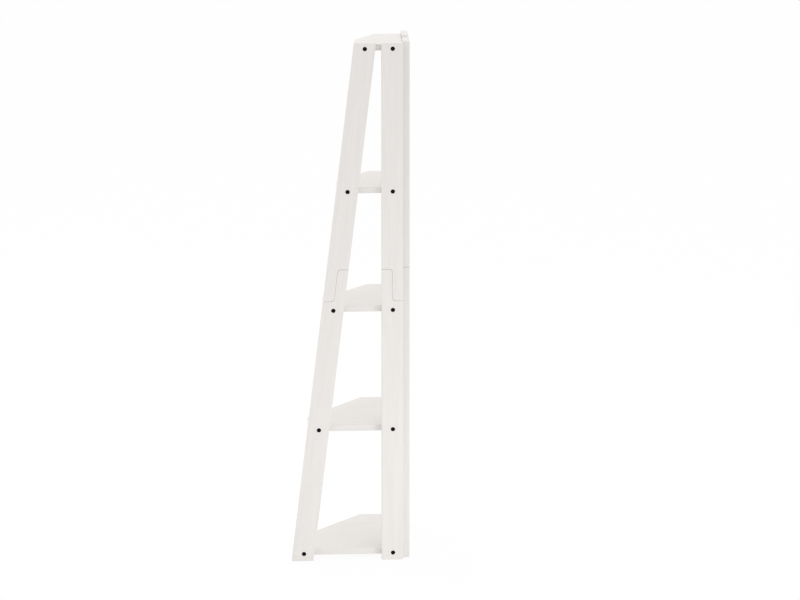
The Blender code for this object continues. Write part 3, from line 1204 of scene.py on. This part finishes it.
@dataclass
class Bookcase:
    """The whole bookcase: it builds every piece, puts it in place and dresses it."""

    plan: Plan
    hardware: Hardware
    nodes: dict[str, Piece]
    seed: int = 7

    def __post_init__(self) -> None:
        """Builds the shared finishes."""
        self.effects = SharedEffects()
        paint = PaintFinish()
        self.paints = {run: paint.material(self.effects, run, self.plan.lean) for run in GrainRun}
        self.black = BLACK_STEEL.material(self.effects)
        self.zinc = ZINC_STEEL.material(self.effects)
        self.beech = BeechFinish().material(self.effects)

    def dress(self, piece: Piece, node: str, material: bpy.types.Material) -> None:
        """Finishes a piece, names it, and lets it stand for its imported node.

        Args:
            piece: the modelled piece, in place.
            node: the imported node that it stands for.
            material: its finish.
        """
        smooth(piece)
        piece.name = f"{node}_finished"
        piece.data.name = piece.name
        piece.data.materials.clear()
        piece.data.materials.append(material)
        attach(piece, BODY)
        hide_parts(node)
        apart = max(
            abs(outermost(corner[axis] for corner in piece.bound_box) - end[axis])
            for outermost, end in zip((min, max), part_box(node))
            for axis in range(3)
        )
        faces = len(piece.data.polygons)
        log.info("%s: %d faces, within %.2f mm of its node", piece.name, faces, apart * MM_PER_M)

    def drill(self, board: Piece, model: Piece, where: Matrix) -> None:
        """Cuts a hole in a board.

        Args:
            board: the board.
            model: the hole's cutter, which is copied.
            where: the matrix that takes the copy to its place.
        """
        cutter = duplicate(model, "cutter")
        apply_place(cutter, where)
        cut(board, cutter)

    def legs(self) -> None:
        """Builds the eight leg boards. Those of the left frame are copies of the right frame's."""
        raked = {Side.RIGHT: GrainRun.RAKED_RIGHT, Side.LEFT: GrainRun.RAKED_LEFT}
        bolt_hole = self.hardware.bolt_hole()
        dowel_hole = self.hardware.dowel_hole()
        for place, half in product(Place, Half):
            part = LegBoard(self.plan, place, half)
            board = part.build()
            low, _, high = sorted(part.levels)
            for shelf in self.plan.shelves:
                if low < self.plan.centre(shelf) < high:
                    self.drill(board, bolt_hole, self.hardware.bolt_place(Side.RIGHT, place, shelf))
            self.drill(board, dowel_hole, self.dowel_place(place))
            left = duplicate(board, "left copy")
            apply_place(left, self.plan.to_left(place))
            if place is Place.FRONT:
                face_out(left)  # a mirror image is inside out
            for side, piece in ((Side.RIGHT, board), (Side.LEFT, left)):
                run = raked[side] if place is Place.FRONT else GrainRun.UPRIGHT
                node = f"{side.value}_{place.value}_leg_{half.value}"
                self.dress(piece, node, self.paints[run])
        discard(bolt_hole)
        discard(dowel_hole)

    def dowel_place(self, place: Place) -> Matrix:
        """Where the dowel of a right-hand leg goes.

        Args:
            place: which leg of the frame.

        Returns:
            The matrix that takes it through the middle of the lap, square to the leg's length.
        """
        plan = self.plan
        lean = plan.lean if place is Place.FRONT else 0.0
        height = plan.lap_middle
        point = plan.right_point(plan.leg_middle(place, height), plan.leg_thickness / 2, height)
        along = Vector((-math.cos(lean), 0, math.sin(lean)))
        return Matrix.Translation(point) @ along.to_track_quat("Z", "Y").to_matrix().to_4x4()

    def shelves(self) -> None:
        """Builds the five shelves, with the holes for their bolts and nuts."""
        bolt_hole = self.hardware.bolt_hole()
        nut_hole = self.hardware.nut_hole()
        for shelf in self.plan.shelves:
            board = Shelf(self.plan, shelf).build()
            for side, place in product(Side, Place):
                self.drill(board, bolt_hole, self.hardware.bolt_place(side, place, shelf))
                self.drill(board, nut_hole, self.hardware.nut_place(side, place, shelf))
            self.dress(board, shelf.node, self.paints[GrainRun.LEVEL])
        discard(bolt_hole)
        discard(nut_hole)

    def fasteners(self) -> None:
        """Builds a bolt and a barrel nut and copies them to every joint, each bolt at its own angle."""
        angles = random.Random(self.seed)
        bolt = self.hardware.bolt()
        nut = self.hardware.nut()
        for side, place, (number, shelf) in product(Side, Place, enumerate(self.plan.shelves, start=1)):
            label = f"{side.value}_{place.value}_{number}"
            turn = Matrix.Rotation(angles.uniform(0, SIXTH_TURN), 4, "Z")
            copy = duplicate(bolt, "copy")
            apply_place(copy, self.hardware.bolt_place(side, place, shelf) @ turn)
            self.dress(copy, f"bolt_{label}", self.black)
            copy = duplicate(nut, "copy")
            apply_place(copy, self.hardware.nut_place(side, place, shelf))
            self.dress(copy, f"barrel_nut_{label}", self.zinc)
        discard(bolt)
        discard(nut)

    def dowels(self) -> None:
        """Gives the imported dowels, which stay, their finish."""
        for name, node in self.nodes.items():
            if name.startswith("lap_dowel"):
                node.data.materials.clear()
                node.data.materials.append(self.beech)
                log.info("%s: packed shape, bare beech", name)


# The studio


@dataclass(frozen=True)
class SoftLamp:
    """A square soft box."""

    name: str
    place: Vector
    aim: Vector
    size: float
    power: float

    def build(self) -> None:
        """Hangs the lamp, out of the camera's sight."""
        lamp = bpy.data.lights.new(self.name, "AREA")
        lamp.shape = "SQUARE"
        lamp.size = self.size
        lamp.energy = self.power
        holder = bpy.data.objects.new(self.name, lamp)
        bpy.context.scene.collection.objects.link(holder)
        holder.location = self.place
        holder.rotation_euler = (self.aim - self.place).to_track_quat("-Z", "Y").to_euler()
        holder.visible_camera = False


@dataclass(frozen=True)
class Studio:
    """A plain white floor, even light from all round, and soft lamps by the corner, above and in front."""

    floor_size: float = 90.0
    floor_color: tuple[float, ...] = (0.93, 0.93, 0.93, 1)
    floor_glow: float = 0.93  # share of plain white in what the camera sees of the floor
    floor_light: float = 0.4  # share of plain white in the light that the floor sends to the bookcase
    surround: tuple[float, ...] = (1.0, 1.0, 1.0, 1)
    surround_strength: float = 0.93
    lamps: tuple[SoftLamp, ...] = (
        SoftLamp("corner_lamp", Vector((1.9, -2.1, 0.25)), Vector((0.0, -0.1, 0.5)), size=0.9, power=4.0),
        SoftLamp("foot_lamp", Vector((1.1, -1.2, 0.15)), Vector((0.15, -0.2, 0.25)), size=0.4, power=3.2),
        SoftLamp("top_lamp", Vector((1.5, 0.4, 4.2)), Vector((0.0, 0.0, 1.2)), size=0.7, power=1.6),
        SoftLamp("shelf_lamp", Vector((-1.6, 1.6, 4.2)), Vector((0.0, 0.0, 0.9)), size=2.0, power=28.0),
        SoftLamp("low_shelf_lamp", Vector((-1.5, 1.5, 0.9)), Vector((0.0, 0.0, 0.1)), size=1.2, power=6.0),
    )

    def background_rays(self, sheet: NodeSheet) -> Socket:
        """One for the rays that show the background: those of the camera, and those seen in metal or glass.

        Args:
            sheet: the tree to build on.

        Returns:
            The socket that holds the value.
        """
        rays = sheet.add("ShaderNodeLightPath").outputs
        shown = sheet.math("MAXIMUM", rays["Is Camera Ray"], rays["Is Glossy Ray"])
        return sheet.math("MAXIMUM", shown, rays["Is Transmission Ray"])

    def build_floor(self) -> None:
        """Lays the floor, which looks white and still takes the bookcase's shadow."""
        bpy.ops.object.select_all(action="DESELECT")
        bpy.ops.mesh.primitive_plane_add(size=self.floor_size)
        floor = bpy.context.object
        floor.name = "studio_floor"
        material = bpy.data.materials.new("studio floor")
        material.use_nodes = True
        sheet = NodeSheet(material.node_tree)
        sheet.tree.nodes.clear()
        matte = sheet.add("ShaderNodeBsdfDiffuse", {"Color": self.floor_color}).outputs["BSDF"]
        white = sheet.add("ShaderNodeEmission", {"Color": self.surround, "Strength": 1.0}).outputs["Emission"]
        seen = sheet.math("MULTIPLY", self.background_rays(sheet), self.floor_glow)
        share = sheet.math("MAXIMUM", seen, self.floor_light)
        mixed = sheet.add("ShaderNodeMixShader", {0: share, 1: matte, 2: white}).outputs["Shader"]
        sheet.add("ShaderNodeOutputMaterial", {"Surface": mixed})
        floor.data.materials.append(material)

    def build_surround(self) -> None:
        """Lights the bookcase evenly from all round, with white where the camera sees past the floor."""
        world = bpy.data.worlds.new("studio surround")
        bpy.context.scene.world = world
        world.use_nodes = True
        sheet = NodeSheet(world.node_tree)
        sheet.tree.nodes.clear()
        strength = sheet.between(self.background_rays(sheet), self.surround_strength, 1.0)
        light = sheet.add("ShaderNodeBackground", {"Color": self.surround, "Strength": strength})
        sheet.add("ShaderNodeOutputWorld", {"Surface": light.outputs["Background"]})

    def build(self) -> None:
        """Builds the floor and the light."""
        self.build_floor()
        self.build_surround()
        for lamp in self.lamps:
            lamp.build()
        bpy.context.scene.view_settings.view_transform = "Standard"


@dataclass(frozen=True)
class PhotoCamera:
    """The camera, fitted to the photograph's 800 x 600 frame."""

    place: Vector = Vector((-0.66606, -16.17236, 5.45110))
    pitch: float = 0.2754  # down, in radians
    yaw: float = 0.0523  # to the right of +Y, in radians
    focal_pixels: float = 4877.5
    frame_width: int = 800
    sensor_width: float = 36.0
    sight: float = 200.0  # how far the camera sees

    def build(self) -> None:
        """Sets up the camera and makes it the scene's own."""
        camera = bpy.data.cameras.new("photo camera")
        camera.sensor_fit = "HORIZONTAL"
        camera.sensor_width = self.sensor_width
        camera.lens = self.focal_pixels / self.frame_width * self.sensor_width
        camera.clip_end = self.sight
        holder = bpy.data.objects.new("photo_camera", camera)
        bpy.context.scene.collection.objects.link(holder)
        level = math.cos(self.pitch)
        look = Vector((math.sin(self.yaw) * level, math.cos(self.yaw) * level, -math.sin(self.pitch)))
        holder.location = self.place
        holder.rotation_euler = look.to_track_quat("-Z", "Y").to_euler()
        bpy.context.scene.camera = holder


def clear_startup() -> None:
    """Removes the startup scene's own objects."""
    for startup in list(bpy.data.objects):
        bpy.data.objects.remove(startup, do_unlink=True)


def main(frame: dict[str, object]) -> None:
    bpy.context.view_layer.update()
    plan = Plan()
    bookcase = Bookcase(plan, Hardware(plan), frame["nodes"])
    PhotoCamera().build()
    Studio().build()
    bookcase.legs()
    bookcase.shelves()
    bookcase.fasteners()
    bookcase.dowels()
    bpy.ops.object.select_all(action="DESELECT")


if __name__ == "__main__":
    logging.basicConfig(level=logging.INFO, format="%(name)s: %(message)s")
    clear_startup()
    main(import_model())
